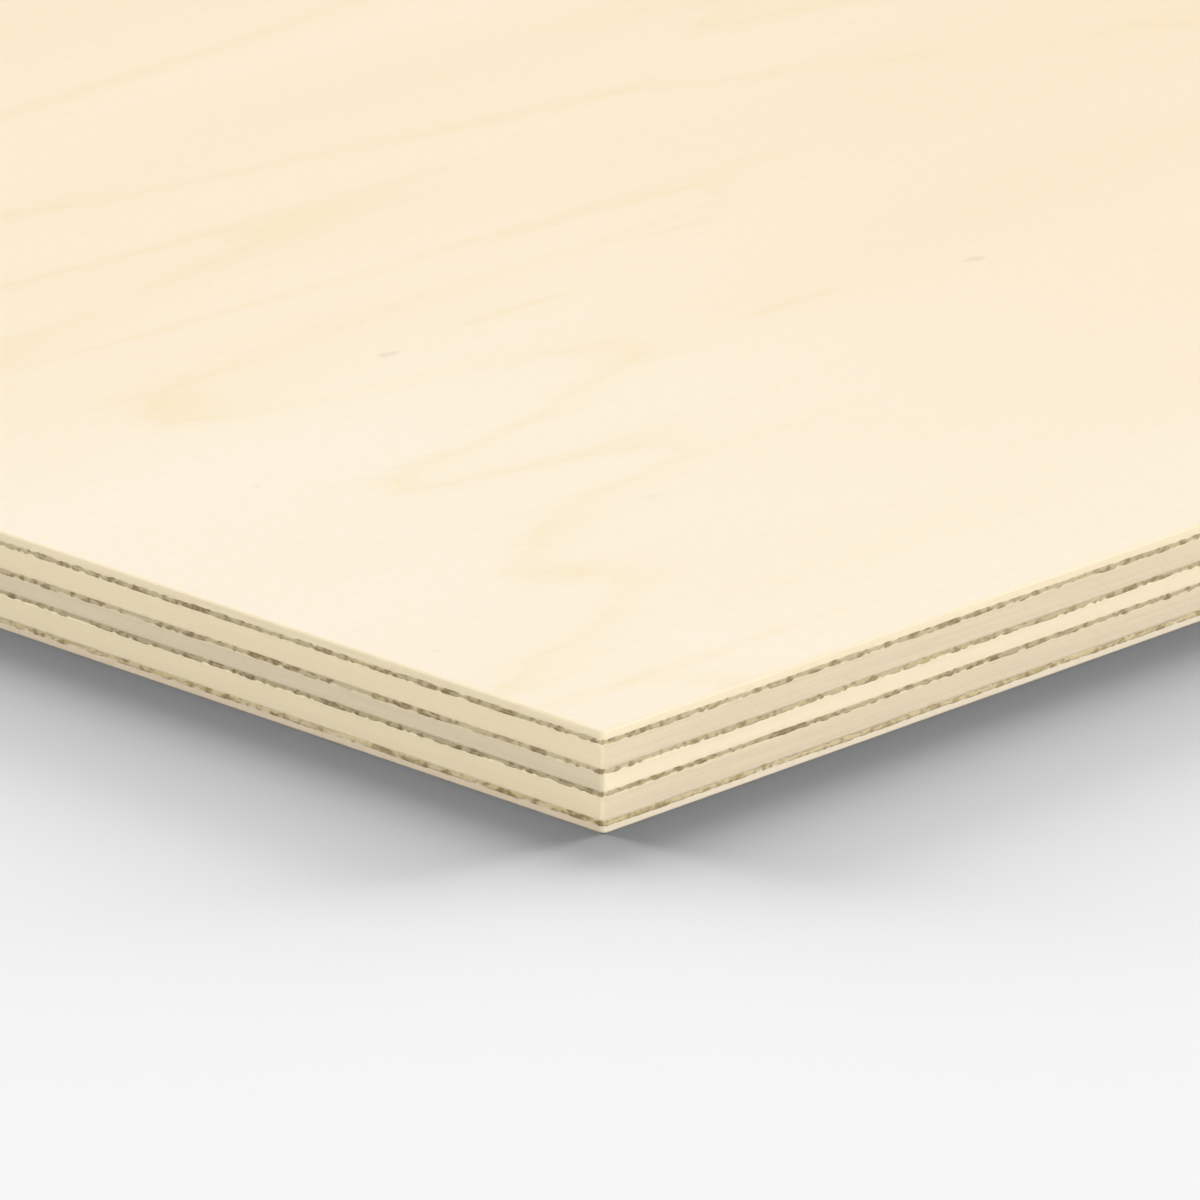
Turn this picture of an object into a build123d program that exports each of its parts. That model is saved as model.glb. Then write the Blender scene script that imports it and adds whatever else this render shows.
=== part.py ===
from build123d import *

import os

# Plywood sheet, lying face up. X runs along the face grain, Y across it and Z up.
# The origin is the centre of the back, on the surface that the sheet lies on.
# All sizes are in millimetres.

# Sheet as cut to its stock size
length = 1220.0
width = 610.0

# Veneers as pressed and sanded. The outer two and the centre one have their
# grain along X, and the two crossbands have theirs along Y.
face_veneer_thickness = 1.25
crossband_thickness = 3.15
centre_ply_thickness = 2.40
back_veneer_thickness = 1.05

# Cured glue film between one veneer and the next
glue_line_thickness = 0.25

# Light sanding of the sawn edges: the upright corners of the sheet, and the
# arris round its face and its back. The corners are the rounder of the two.
corner_radius = 0.8
arris_radius = 0.25

# Lay-up from the back to the face, in the order in which the press stacks it
LAY_UP = [
    ("back_veneer", back_veneer_thickness),
    ("back_glue_line", glue_line_thickness),
    ("lower_crossband", crossband_thickness),
    ("lower_glue_line", glue_line_thickness),
    ("centre_ply", centre_ply_thickness),
    ("upper_glue_line", glue_line_thickness),
    ("upper_crossband", crossband_thickness),
    ("face_glue_line", glue_line_thickness),
    ("face_veneer", face_veneer_thickness),
]
sheet_thickness = sum(thickness for name, thickness in LAY_UP)


def trimmed_sheet():
    """The whole pressed sheet, sawn to size, with its corners and arrises eased."""
    with BuildPart() as sheet:
        with BuildSketch():
            RectangleRounded(length, width, corner_radius)
        extrude(amount=sheet_thickness)
        back = sheet.faces().sort_by(Axis.Z)[0]
        face = sheet.faces().sort_by(Axis.Z)[-1]
        fillet(back.edges() + face.edges(), radius=arris_radius)
    return sheet.part


def layer_of(sheet, bottom, thickness):
    """What one layer keeps of the trimmed sheet, so that every cut runs through the stack."""
    slab = Box(2 * length, 2 * width, thickness, align=(Align.CENTER, Align.CENTER, Align.MIN))
    return sheet & Pos(0, 0, bottom) * slab


def main():
    os.makedirs("parts", exist_ok=True)
    sheet = trimmed_sheet()
    bottom = 0.0
    for name, thickness in LAY_UP:
        layer = layer_of(sheet, bottom, thickness)
        layer.label = name
        export_step(layer, f"parts/{name}.step")
        bottom += thickness


main()
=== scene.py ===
import math

import bpy
import numpy as np
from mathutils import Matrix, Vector


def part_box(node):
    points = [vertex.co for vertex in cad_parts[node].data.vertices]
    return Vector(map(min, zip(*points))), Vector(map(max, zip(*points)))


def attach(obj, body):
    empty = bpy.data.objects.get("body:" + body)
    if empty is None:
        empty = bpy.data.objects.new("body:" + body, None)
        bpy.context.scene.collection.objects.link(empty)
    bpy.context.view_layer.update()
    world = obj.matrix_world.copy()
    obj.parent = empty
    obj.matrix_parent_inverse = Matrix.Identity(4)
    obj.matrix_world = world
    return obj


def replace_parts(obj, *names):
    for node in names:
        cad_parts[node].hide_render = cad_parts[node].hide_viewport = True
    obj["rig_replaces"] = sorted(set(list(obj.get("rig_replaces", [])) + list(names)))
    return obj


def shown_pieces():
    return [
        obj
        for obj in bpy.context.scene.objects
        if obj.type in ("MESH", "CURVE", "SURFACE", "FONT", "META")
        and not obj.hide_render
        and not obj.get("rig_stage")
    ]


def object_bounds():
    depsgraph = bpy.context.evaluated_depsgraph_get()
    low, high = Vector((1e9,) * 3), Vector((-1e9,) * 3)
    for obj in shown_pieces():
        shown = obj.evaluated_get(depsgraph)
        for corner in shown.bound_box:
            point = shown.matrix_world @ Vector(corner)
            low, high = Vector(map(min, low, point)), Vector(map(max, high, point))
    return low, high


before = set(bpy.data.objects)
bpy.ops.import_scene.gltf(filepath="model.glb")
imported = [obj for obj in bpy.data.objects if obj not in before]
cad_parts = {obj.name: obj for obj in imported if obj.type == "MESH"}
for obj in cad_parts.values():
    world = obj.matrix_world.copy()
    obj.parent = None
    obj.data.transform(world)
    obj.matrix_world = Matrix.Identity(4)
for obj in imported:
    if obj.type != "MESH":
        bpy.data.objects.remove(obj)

bl_info = {
    "name": "Plywood Sheet",
    "version": (1, 0, 0),
    "blender": (4, 5, 0),
    "location": "3D View > Sidebar > Plywood",
    "description": "Builds a sheet of plywood with sawn edges, dark glue lines and a figured face",
    "category": "Object",
}

# The sheet as constructed: the box round it, and its layers from the back to the face
CAD_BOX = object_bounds()
LEAST, MOST = CAD_BOX
SHEET_LENGTH = MOST.x - LEAST.x
SHEET_WIDTH = MOST.y - LEAST.y
LAYERS = sorted(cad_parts, key=lambda node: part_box(node)[0].z)
BODY = "root"
MM = 0.001
TINY = 0.002 * MM

# Steps round each upright corner, and points across a bead of glue with the two rims behind it
CORNER_STEPS = 5
BEAD_POINTS = 9

# Where a flat face's triangles grow, in from its rim
CAP_INSETS = (5 * MM, 45 * MM)

# A face is level where its normal is at least this upright
LEVEL = 0.9995

# A profile swept along the outline is laid with its Y axis down
PROFILE_TURN = (1.0, -1.0, 1.0)

# Makes a number of a side's outward direction that differs from side to side
SIDE_CODE = (13.0, 29.0, 0.0)

# Map for baking: length of sawn edge in one strip, the gap round strips as a share of the map and
# as a share of a strip's own height, and the largest share of the map for the face that shows
MAP_STRIP = SHEET_WIDTH / 4
MAP_GAP = 0.003
MAP_MARGIN = 0.08
MAP_FACE = 0.5
MAP_UPRIGHT = 0.6

# Route of the main growth ring on the face, in millimetres from the near corner:
# how far across the sheet a point lies, and how far along it the ring has run there
RING_ROUTE = [
    (0, 20), (6, 17), (9, 12), (10.5, -6), (14, -22), (17, -3), (19, 4), (23.3, 14), (25, 24), (29.8, 32),
    (34.8, 38), (38, 37), (42, 33), (44.8, 30.7), (49, 36.5), (56, 50), (58.6, 55), (60, 72), (62.5, 76),
    (66, 72), (69.8, 60), (72, 49), (76, 43), (79.8, 49), (83.2, 71.5), (88.8, 89), (92.5, 99), (97.5, 94),
    (101.5, 84), (105, 66), (109, 47), (115, 41), (121, 46), (124, 64), (126, 90), (128, 122), (130, 157),
    (134, 157), (137, 130), (139.3, 92), (142, 40), (147, 45), (153, 75), (158, 100), (161, 113), (165, 88),
    (172, 52), (180, 60),
]
ROUTE_WIDTH = 180.0
ROUTE_LEAST = -40.0
ROUTE_SPAN = 200.0

# Where the back's figure is taken from, away from the face's
BACK_FIGURE = (1900.0, 1300.0, 400.0)

# Small marks on the face, in millimetres from the near corner:
# along, across, half length, half width and strength
FACE_FLECKS = [
    (78.2, 113.0, 1.9, 0.9, 0.2),
    (156.8, 88.5, 1.9, 0.9, 0.17),
    (61.5, 52.5, 2.6, 0.8, 0.05),
    (32.0, 88.0, 1.2, 0.5, 0.08),
    (6.0, 32.0, 1.1, 0.45, 0.1),
]

# Honey-coloured smears on the face, in the same way
FACE_SMEARS = [
    (101.5, 115.0, 13.0, 1.2, 0.6),
    (128.0, 92.5, 12.0, 1.4, 0.4),
    (141.0, 124.0, 8.0, 0.9, 0.5),
    (72.5, 87.0, 12.0, 1.0, 0.2),
    (96.0, 91.5, 8.0, 2.2, 0.4),
    (104.0, 160.5, 9.0, 2.0, 0.6),
    (47.0, 116.0, 8.0, 6.5, 0.35),
    (34.0, 41.0, 7.0, 6.0, 0.3),
    (5.0, 5.0, 34.0, 26.0, 0.26),
    (70.0, 10.0, 50.0, 24.0, 0.3),
]

# Where the growth rings fade out, in the same way
RING_FADES = [
    (132.0, 135.5, 36.0, 5.5, 0.9),
    (150.0, 60.0, 60.0, 30.0, 0.6),
]

# How pale each glue line is
GLUE_TONES = {
    "face_glue_line": 0.98,
    "upper_glue_line": 1.06,
    "lower_glue_line": 0.94,
    "back_glue_line": 1.3,
}

# Suns that light the floor alone, from behind the sheet: azimuth, elevation, spread in degrees, strength
FLOOR_SUNS = [
    ("floor_behind", 134.4, 20.0, 60.0, 3.9),
    ("floor_plus_x", 89.4, 6.0, 40.0, 5.7),
    ("floor_plus_y", 179.4, 6.0, 40.0, 5.7),
]

# Suns that light the sheet alone, in the same way
SHEET_SUNS = [
    ("sheet_above", 0.0, 90.0, 60.0, 1.105),
    ("sheet_minus_y", 5.0, 15.0, 30.0, 2.1),
    ("sheet_minus_x", -95.0, 15.0, 30.0, 1.49),
    ("sheet_plus_y", 185.0, 15.0, 30.0, 2.08),
    ("sheet_plus_x", 85.0, 15.0, 30.0, 1.73),
]


def metres(name, note, value):
    """A setting that is a length."""
    return bpy.props.FloatProperty(name=name, description=note, default=value, unit="LENGTH", precision=6)


def number(name, note, value):
    """A setting that is a plain number."""
    return bpy.props.FloatProperty(name=name, description=note, default=value)


def factor(name, note, value):
    """A setting from 0 to 1."""
    return bpy.props.FloatProperty(name=name, description=note, default=value, min=0, max=1, subtype="FACTOR")


def degrees(name, note, value):
    """A setting that is an angle."""
    return bpy.props.FloatProperty(name=name, description=note, default=math.radians(value), subtype="ANGLE")


def paint(name, note, value):
    """A setting that is a colour."""
    return bpy.props.FloatVectorProperty(name=name, description=note, default=value, subtype="COLOR", size=3)


class SheetSizes(bpy.types.PropertyGroup):
    """Sizes of the whole sheet and how finely its sawn edges are made."""

    length: metres("Length", "Size along the face grain", SHEET_LENGTH)
    width: metres("Width", "Size across the face grain", SHEET_WIDTH)
    corner_radius: metres("Corner Radius", "Sanding of the upright corners", 0.8 * MM)
    arris_radius: metres("Arris Radius", "Sanding round the face and the back", 0.25 * MM)
    column_pitch: metres("Column Pitch", "Mesh step along a sawn edge", 0.8 * MM)
    row_pitch: metres("Row Pitch", "Mesh step up a sawn edge", 0.4 * MM)
    arris_row_pitch: metres(
        "Arris Row Pitch", "Mesh step up the edge of the outer veneers, whose arris is round", 0.13 * MM
    )


class EdgeRelief(bpy.types.PropertyGroup):
    """How far the saw and the wood's own grain sink the cut faces."""

    ripple_pitch: metres("Ripple Pitch", "Distance between two saw marks", 3.4 * MM)
    ripple_depth: metres("Ripple Depth", "Depth of the saw marks", 0.022 * MM)
    ripple_lean: number("Ripple Lean", "How far a saw mark leans for each unit of height", 0.35)
    end_depth: metres("End Grain Depth", "Roughness of sawn end grain", 0.035 * MM)
    long_depth: metres("Long Grain Depth", "Roughness of sawn long grain", 0.025 * MM)
    long_recess: metres("Long Grain Recess", "How far long grain lies below end grain", 0.02 * MM)


class WoodColours(bpy.types.PropertyGroup):
    """Colours of the veneers, on their faces and on their sawn edges."""

    face: paint("Face", "Pale wood of the face", (0.96, 0.876, 0.75))
    face_far: paint("Face Drift", "Warmer wood that the face drifts to", (0.925, 0.785, 0.585))
    ring: paint("Ring", "Honey colour of the growth rings", (0.875, 0.72, 0.40))
    fleck: paint("Fleck", "Small grey marks", (0.45, 0.36, 0.25))
    outer_long: paint("Outer Veneer, Long Grain", "Edge along the grain", (0.88, 0.755, 0.535))
    outer_end: paint("Outer Veneer, End Grain", "Edge across the grain", (0.83, 0.715, 0.49))
    crossband_long: paint("Crossband, Long Grain", "Edge along the grain", (0.845, 0.725, 0.485))
    crossband_end: paint("Crossband, End Grain", "Edge across the grain", (0.76, 0.635, 0.45))
    centre_long: paint("Centre Ply, Long Grain", "Edge along the grain", (0.92, 0.79, 0.565))
    centre_end: paint("Centre Ply, End Grain", "Edge across the grain", (0.735, 0.628, 0.44))
    # Painted light: the lower crossband is made paler to make up for the shade that falls on the lower part
    # of the sawn edge, above the dark floor
    lower_crossband_tone: number(
        "Lower Crossband Tone", "How much paler the lower crossband is than the upper one", 1.07
    )
    back_long: paint("Back Veneer, Long Grain", "Edge along the grain", (0.94, 0.82, 0.625))
    back_end: paint("Back Veneer, End Grain", "Edge across the grain", (0.83, 0.69, 0.50))
    back: paint("Back", "Wood of the back", (0.84, 0.72, 0.54))


class RingFigure(bpy.types.PropertyGroup):
    """The growth-ring figure of a peeled veneer, in millimetres."""

    spacing: number("Spacing", "Distance along the grain from one ring to the next, in mm", 165.0)
    line: number("Line", "Width over which a ring's line fades, in mm", 3.1)
    tone: number("Tone", "Width over which the warm wood beyond a ring fades, in mm", 20.0)


class GlueLook(bpy.types.PropertyGroup):
    """Shape and colour of the glue that shows on the sawn edges."""

    column_pitch: metres("Column Pitch", "Mesh step along a glue line", 0.55 * MM)
    dash_length: metres("Dash Length", "Usual length of a thick stretch", 1.25 * MM)
    dash_height: metres("Dash Height", "Height of the glue where it is thick", 0.68 * MM)
    gap_height: metres("Gap Height", "Height of the glue between two thick stretches", 0.48 * MM)
    bead_depth: metres("Bead Depth", "How far the thick glue reaches into the edge", 0.12 * MM)
    bead_wander: metres("Bead Wander", "Range over which the line bends up and down", 0.4 * MM)
    crown: metres("Crown", "Roundness of the glue across its line", 0.02 * MM)
    sink: metres("Sink", "How far the glue lies back between thick stretches", 0.008 * MM)
    stain_reach: number("Stain Reach", "How far glue has soaked into the edge beside its line, in mm", 0.16)
    long_side_tone: number("Long Side Tone", "How much paler the thin glue is on the long sides", 1.05)
    dark: paint("Dark", "Thick cured glue", (0.225, 0.158, 0.067))
    dark_long: paint(
        "Dark, Long Sides", "Thick cured glue on the long sides, where it is paler", (0.28, 0.207, 0.1)
    )
    resin: paint("Resin", "Yellower thin glue, in some stretches", (0.52, 0.43, 0.225))
    pale: paint("Pale", "Thin glue that the wood shows through", (0.55, 0.455, 0.27))


class StudioLook(bpy.types.PropertyGroup):
    """Floor, lights and camera."""

    floor_size: metres("Floor Size", "Side of the floor", 200.0)
    floor_tone: factor("Floor Tone", "How pale the floor is", 0.92)
    lit_tone: factor("Lit Tone", "Brightness of the open floor and the background", 0.93)
    ambient: factor("Ambient", "Light from all round, as a share of the floor's", 0.085)
    camera_azimuth: degrees("Camera Azimuth", "0 looks along +Y and 90 along -X", -45.644)
    camera_elevation: degrees("Camera Elevation", "Height above the horizon", 19.125)
    camera_distance: metres("Camera Distance", "From the near corner", 1158.5 * MM)
    camera_lens: number("Camera Lens", "Focal length in mm on a 36 mm sensor", 317.45)
    aim_right: metres("Aim Right", "How far right of the near corner the camera aims", -0.4 * MM)
    aim_up: metres("Aim Up", "How far above the near corner the camera aims", 20.08 * MM)


def settings_of(group):
    """The names of a property group's own settings."""
    names = [each.identifier for each in group.bl_rna.properties if not each.is_readonly]
    return [name for name in names if name != "name"]


def spaced(name):
    return name.replace("_", " ")


def titled(group):
    """A property group's values by title, as the inputs of the trees are called."""
    return {spaced(name).title(): getattr(group, name) for name in settings_of(group)}


def once(build):
    """The node group that a function builds and is named for, built the first time that it is needed."""
    name = spaced(build.__name__).title()
    return bpy.data.node_groups.get(name) or build(name)


class Nodes:
    """Adds nodes to a tree. Each input takes a plain value or another node's output."""

    def __init__(self, tree):
        self.tree = tree

    def add(self, kind, inputs=None, **settings):
        """A new node with these settings, and inputs given by name or by place."""
        node = self.tree.nodes.new(kind)
        for setting, value in settings.items():
            setattr(node, setting, value)
        shown = [socket for socket in node.inputs if socket.enabled]
        for key, value in (inputs or {}).items():
            socket = shown[key] if isinstance(key, int) else next(s for s in shown if s.name == key)
            self.feed(socket, value)
        return node

    def feed(self, socket, value):
        """Links an output to the socket, or sets the socket's own value."""
        if isinstance(value, bpy.types.NodeSocket):
            self.tree.links.new(value, socket)
        else:
            socket.default_value = value

    def out(self, kind, inputs=None, **settings):
        """The first shown output of a new node."""
        node = self.add(kind, inputs, **settings)
        return next(socket for socket in node.outputs if socket.enabled)

    def use(self, build, **inputs):
        """Places a node group in this tree and returns its outputs. An underscore stands for a space."""
        kind = self.tree.bl_idname.replace("NodeTree", "NodeGroup")
        node = self.tree.nodes.new(kind)
        node.node_tree = once(build)
        for name, value in inputs.items():
            self.feed(node.inputs[spaced(name)], value)
        return node.outputs

    def math(self, operation, *values):
        return self.out("ShaderNodeMath", dict(enumerate(values)), operation=operation)

    def vector(self, operation, *values):
        return self.out("ShaderNodeVectorMath", dict(enumerate(values)), operation=operation)

    def total(self, first, *others):
        for value in others:
            first = self.math("ADD", first, value)
        return first

    def product(self, first, *others):
        for value in others:
            first = self.math("MULTIPLY", first, value)
        return first

    def minus(self, first, second):
        return self.math("SUBTRACT", first, second)

    def ratio(self, first, second):
        return self.math("DIVIDE", first, second)

    def within(self, value, least, most):
        return self.math("MINIMUM", self.math("MAXIMUM", value, least), most)

    def split(self, vector):
        return self.add("ShaderNodeSeparateXYZ", {0: vector}).outputs

    def join(self, x, y, z):
        return self.out("ShaderNodeCombineXYZ", {0: x, 1: y, 2: z})

    def ramp(self, value, start, end, low=0.0, high=1.0):
        """A smooth step from low to high as the value goes from start to end."""
        sockets = {"Value": value, "From Min": start, "From Max": end, "To Min": low, "To Max": high}
        return self.out("ShaderNodeMapRange", sockets, interpolation_type="SMOOTHSTEP")

    def blend(self, share, first, second):
        """A number between first and second."""
        return self.out("ShaderNodeMix", {0: share, 1: first, 2: second}, data_type="FLOAT")

    def tint(self, share, first, second):
        """A colour between first and second."""
        return self.out("ShaderNodeMix", {0: share, 1: first, 2: second}, data_type="RGBA")

    def noise(self, place, sizes, detail=2.0, roughness=0.5):
        """Noise from 0 to 1 whose lumps are about sizes long, wide and high."""
        scaled = self.vector("DIVIDE", place, sizes)
        sockets = {"Vector": scaled, "Scale": 1.0, "Detail": detail, "Roughness": roughness}
        return self.out("ShaderNodeTexNoise", sockets)

    def patches(self, place, sizes, start=0.3, end=0.7, low=0.0, high=1.0, **rest):
        """Noise drawn apart into patches of low and high."""
        return self.ramp(self.noise(place, sizes, **rest), start, end, low, high)

    def sway(self, place, sizes, reach, **rest):
        """Noise to both sides of 0, over a range of about reach."""
        return self.product(self.minus(self.noise(place, sizes, **rest), 0.5), reach)

    def capture(self, geometry, kind, name, value):
        """The geometry with a value kept on its points, and that value."""
        node = self.add("GeometryNodeCaptureAttribute", {"Geometry": geometry})
        node.capture_items.new(kind, name)
        self.feed(node.inputs[name], value)
        return node.outputs["Geometry"], node.outputs[name]

    def joined(self, *parts):
        """Several geometries as one."""
        join = self.tree.nodes.new("GeometryNodeJoinGeometry")
        for part in parts:
            self.tree.links.new(part, join.inputs[0])
        return join.outputs[0]


SHAPE = "GeometryNodeTree"
PATTERN = "ShaderNodeTree"
FLOAT = "NodeSocketFloat"
VECTOR = "NodeSocketVector"
GEOMETRY = "NodeSocketGeometry"
MATERIAL = "NodeSocketMaterial"
KINDS = {float: FLOAT, tuple: VECTOR}


def new_tree(kind, name, inputs, **outputs):
    """An empty node group, as the nodes helper for it and its inputs. An input has a default or a kind."""
    tree = bpy.data.node_groups.new(name, kind)
    for title, value, note in inputs:
        socket_type = KINDS.get(type(value), value)
        socket = tree.interface.new_socket(title, in_out="INPUT", socket_type=socket_type, description=note)
        if value != socket_type:
            socket.default_value = value
    for title, socket_type in outputs.items():
        tree.interface.new_socket(spaced(title), in_out="OUTPUT", socket_type=socket_type)
    nodes = Nodes(tree)
    return nodes, nodes.add("NodeGroupInput").outputs


def put_out(nodes, **values):
    """Ends a node group with its outputs. An underscore stands for a space."""
    end = nodes.tree.nodes.new("NodeGroupOutput")
    for name, value in values.items():
        nodes.feed(end.inputs[spaced(name)], value)
    return nodes.tree


OUTLINE_INPUTS = [
    ("Length", 1.22, "Size along the face grain"),
    ("Width", 0.61, "Size across the face grain"),
    ("Corner Radius", 0.8 * MM, "Sanding of the upright corners"),
    ("Column Pitch", 0.8 * MM, "Longest mesh step along a side"),
]


def sheet_outline(name):
    """The sheet's outline as a closed curve, with even steps along its sides and round corners."""
    n, given = new_tree(SHAPE, name, OUTLINE_INPUTS, Curve=GEOMETRY, Outward=VECTOR)
    sides = {"Width": given["Length"], "Height": given["Width"]}
    rectangle = n.out("GeometryNodeCurvePrimitiveQuadrilateral", sides, mode="RECTANGLE")
    corners = {"Curve": rectangle, "Count": CORNER_STEPS, "Radius": given["Corner Radius"]}
    rounded = n.out("GeometryNodeFilletCurve", corners, mode="POLY")
    here = n.out("GeometryNodeInputPosition")
    following = n.add("GeometryNodeOffsetPointInCurve", {"Offset": 1}).outputs["Point Index"]
    there = n.out("GeometryNodeFieldAtIndex", {"Value": here, "Index": following}, data_type="FLOAT_VECTOR")
    cuts = n.math("FLOOR", n.ratio(n.vector("DISTANCE", here, there), given["Column Pitch"]))
    stepped = n.out("GeometryNodeSubdivideCurve", {"Curve": rounded, "Cuts": cuts})
    upright = n.out("GeometryNodeSetCurveNormal", {"Curve": stepped}, mode="Z_UP")
    outward = n.vector("CROSS_PRODUCT", n.out("GeometryNodeInputTangent"), (0.0, 0.0, 1.0))
    kept, outward = n.capture(upright, "VECTOR", "Outward", outward)
    return put_out(n, Curve=kept, Outward=outward)


def outline(n, given):
    """The outline's curve and its outward direction, from the sizes that a tree is given."""
    sockets = n.use(sheet_outline, **{title: given[title] for title, value, note in OUTLINE_INPUTS})
    return sockets["Curve"], sockets["Outward"]


def side_place(n, outward):
    """Place on a sawn edge in mm, along the side and up it, the side's number, and which way it faces."""
    x, y, z = n.split(n.vector("SCALE", n.out("GeometryNodeInputPosition"), 1 / MM))
    facing_x, facing_y, up = n.split(n.vector("ABSOLUTE", outward))
    along = n.total(n.product(y, facing_x), n.product(x, facing_y))
    side = n.vector("DOT_PRODUCT", outward, SIDE_CODE)
    return along, z, side, facing_x, facing_y


def filled_loop(name):
    """A closed loop filled flat, in rings whose triangles grow towards the middle of the sheet."""
    inputs = [("Loop", GEOMETRY, "Outline of the flat face"), *OUTLINE_INPUTS[:2]]
    n, given = new_tree(SHAPE, name, inputs, Mesh=GEOMETRY)
    loops = [given["Loop"]]
    for inset in CAP_INSETS:
        sides = {"Width": n.minus(given["Length"], 2 * inset), "Height": n.minus(given["Width"], 2 * inset)}
        rectangle = n.out("GeometryNodeCurvePrimitiveQuadrilateral", sides, mode="RECTANGLE")
        loops.append(n.out("GeometryNodeResampleCurve", {"Curve": rectangle, "Length": inset}, mode="LENGTH"))
    rings = [n.joined(outer, inner) for outer, inner in zip(loops, loops[1:])] + loops[-1:]
    filled = [n.out("GeometryNodeFillCurve", {"Curve": ring}, mode="TRIANGLES") for ring in rings]
    return put_out(n, Mesh=n.joined(*filled))


def close_rim(n, wall, given, height, looks_up):
    """A flat face that closes the wall's rim at a height."""
    rim = n.math("COMPARE", n.out("GeometryNodeInputMeshEdgeNeighbors"), 1.0, 0.5)
    level = n.math("COMPARE", n.split(n.out("GeometryNodeInputPosition"))[2], height, TINY)
    loop = n.out("GeometryNodeMeshToCurve", {"Mesh": wall, "Selection": n.product(rim, level)})
    flat = n.use(filled_loop, Loop=loop, Length=given["Length"], Width=given["Width"])["Mesh"]
    placed = n.out("GeometryNodeSetPosition", {"Geometry": flat, "Offset": n.join(0.0, 0.0, height)})
    if not looks_up:
        placed = n.out("GeometryNodeFlipFaces", {"Mesh": placed})
    return n.out("GeometryNodeSetShadeSmooth", {"Geometry": placed, "Shade Smooth": False})


def closed(n, wall, given):
    """The wall with both its rims closed, as one shell."""
    top = close_rim(n, wall, given, given["Top"], True)
    bottom = close_rim(n, wall, given, given["Bottom"], False)
    outside = n.out("GeometryNodeFlipFaces", {"Mesh": wall})
    side = n.out("GeometryNodeSetShadeSmooth", {"Geometry": outside, "Shade Smooth": True})
    return n.out("GeometryNodeMergeByDistance", {"Geometry": n.joined(top, bottom, side), "Distance": TINY})


def finished(n, shell, material):
    """The end of a tree: plain geometry with its material."""
    real = n.out("GeometryNodeRealizeInstances", {"Geometry": shell})
    return n.out("GeometryNodeSetMaterial", {"Geometry": real, "Material": material})


PLY_INPUTS = OUTLINE_INPUTS + [
    ("Row Pitch", 0.4 * MM, "Longest mesh step up the edge"),
    ("Bottom", 0.0, "Height of the ply's back"),
    ("Top", 3.0 * MM, "Height of the ply's face"),
    ("Back Arris", 0.0, "Radius of the arris round the back"),
    ("Face Arris", 0.0, "Radius of the arris round the face"),
    ("Grain Across", 0.0, "1 where the grain runs across the sheet"),
    ("Ripple Pitch", 3.4 * MM, "Distance between two saw marks"),
    ("Ripple Depth", 0.02 * MM, "Depth of the saw marks"),
    ("Ripple Lean", 0.35, "How far a saw mark leans for each unit of height"),
    ("End Depth", 0.03 * MM, "Roughness of sawn end grain"),
    ("Long Depth", 0.02 * MM, "Roughness of sawn long grain"),
    ("Long Recess", 0.02 * MM, "How far long grain lies below end grain"),
    ("Seed", 0.0, "Differs from ply to ply"),
    ("Edge Material", MATERIAL, "Finish of the sawn edge"),
    ("Face Material", MATERIAL, "Finish of the two faces"),
]


def ply_section(n, given):
    """A ply's sawn edge in section, X outwards and Y up, and how much of each point is wall and not arris."""
    height = n.minus(given["Top"], given["Bottom"])
    run = n.total(height, given["Back Arris"], given["Face Arris"])
    rows = n.total(n.math("CEIL", n.ratio(run, given["Row Pitch"])), 1.0)
    line = n.out("GeometryNodeCurvePrimitiveLine", {"End": (0.0, 1.0, 0.0)})
    stepped = n.out("GeometryNodeResampleCurve", {"Curve": line, "Count": rows}, mode="COUNT")
    share = n.add("GeometryNodeSplineParameter").outputs["Factor"]
    climb = n.minus(n.product(share, run), given["Back Arris"])
    over = n.minus(n.math("MINIMUM", climb, 0.0), n.math("MAXIMUM", n.minus(climb, height), 0.0))
    level = n.total(given["Bottom"], n.within(climb, 0.0, height))
    upper = n.math("GREATER_THAN", climb, n.product(height, 0.5))
    radius = n.blend(upper, given["Back Arris"], given["Face Arris"])
    core_low = n.total(given["Bottom"], given["Back Arris"])
    core_high = n.minus(given["Top"], given["Face Arris"])
    core = n.join(n.product(radius, -1.0), n.within(level, core_low, core_high), 0.0)
    away = n.vector("NORMALIZE", n.vector("SUBTRACT", n.join(over, level, 0.0), core))
    point = n.vector("ADD", core, n.vector("SCALE", away, radius))
    drawn = n.vector("MULTIPLY", point, PROFILE_TURN)
    placed = n.out("GeometryNodeSetPosition", {"Geometry": stepped, "Position": drawn})
    wall = n.total(1.0, n.ratio(over, n.math("MAXIMUM", radius, TINY)))
    return n.capture(placed, "FLOAT", "Wall", wall)


def saw_relief(n, given, outward):
    """How far the cut face lies below the sheet's true side."""
    along, up, side, facing_x, facing_y = side_place(n, outward)
    place = n.join(along, up, n.total(side, n.product(given["Seed"], 7.0)))
    end = n.blend(given["Grain Across"], facing_x, facing_y)
    pitch = n.product(given["Ripple Pitch"], 1 / MM / math.tau)
    bend = n.product(n.noise(place, (9.0, 40.0, 5.0)), 6.0)
    leaning = n.total(along, n.product(up, given["Ripple Lean"]), bend)
    wave = n.total(0.5, n.product(0.5, n.math("SINE", n.ratio(leaning, pitch))))
    strength = n.patches(place, (38.0, 60.0, 5.0), 0.35, 0.65)
    ripple = n.product(wave, strength, given["Ripple Depth"])
    end_rough = n.product(n.patches(place, (1.8, 0.9, 3.0)), given["End Depth"])
    long_rough = n.product(n.patches(place, (22.0, 0.8, 3.0)), given["Long Depth"])
    return n.total(ripple, n.blend(end, n.total(long_rough, given["Long Recess"]), end_rough))


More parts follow.
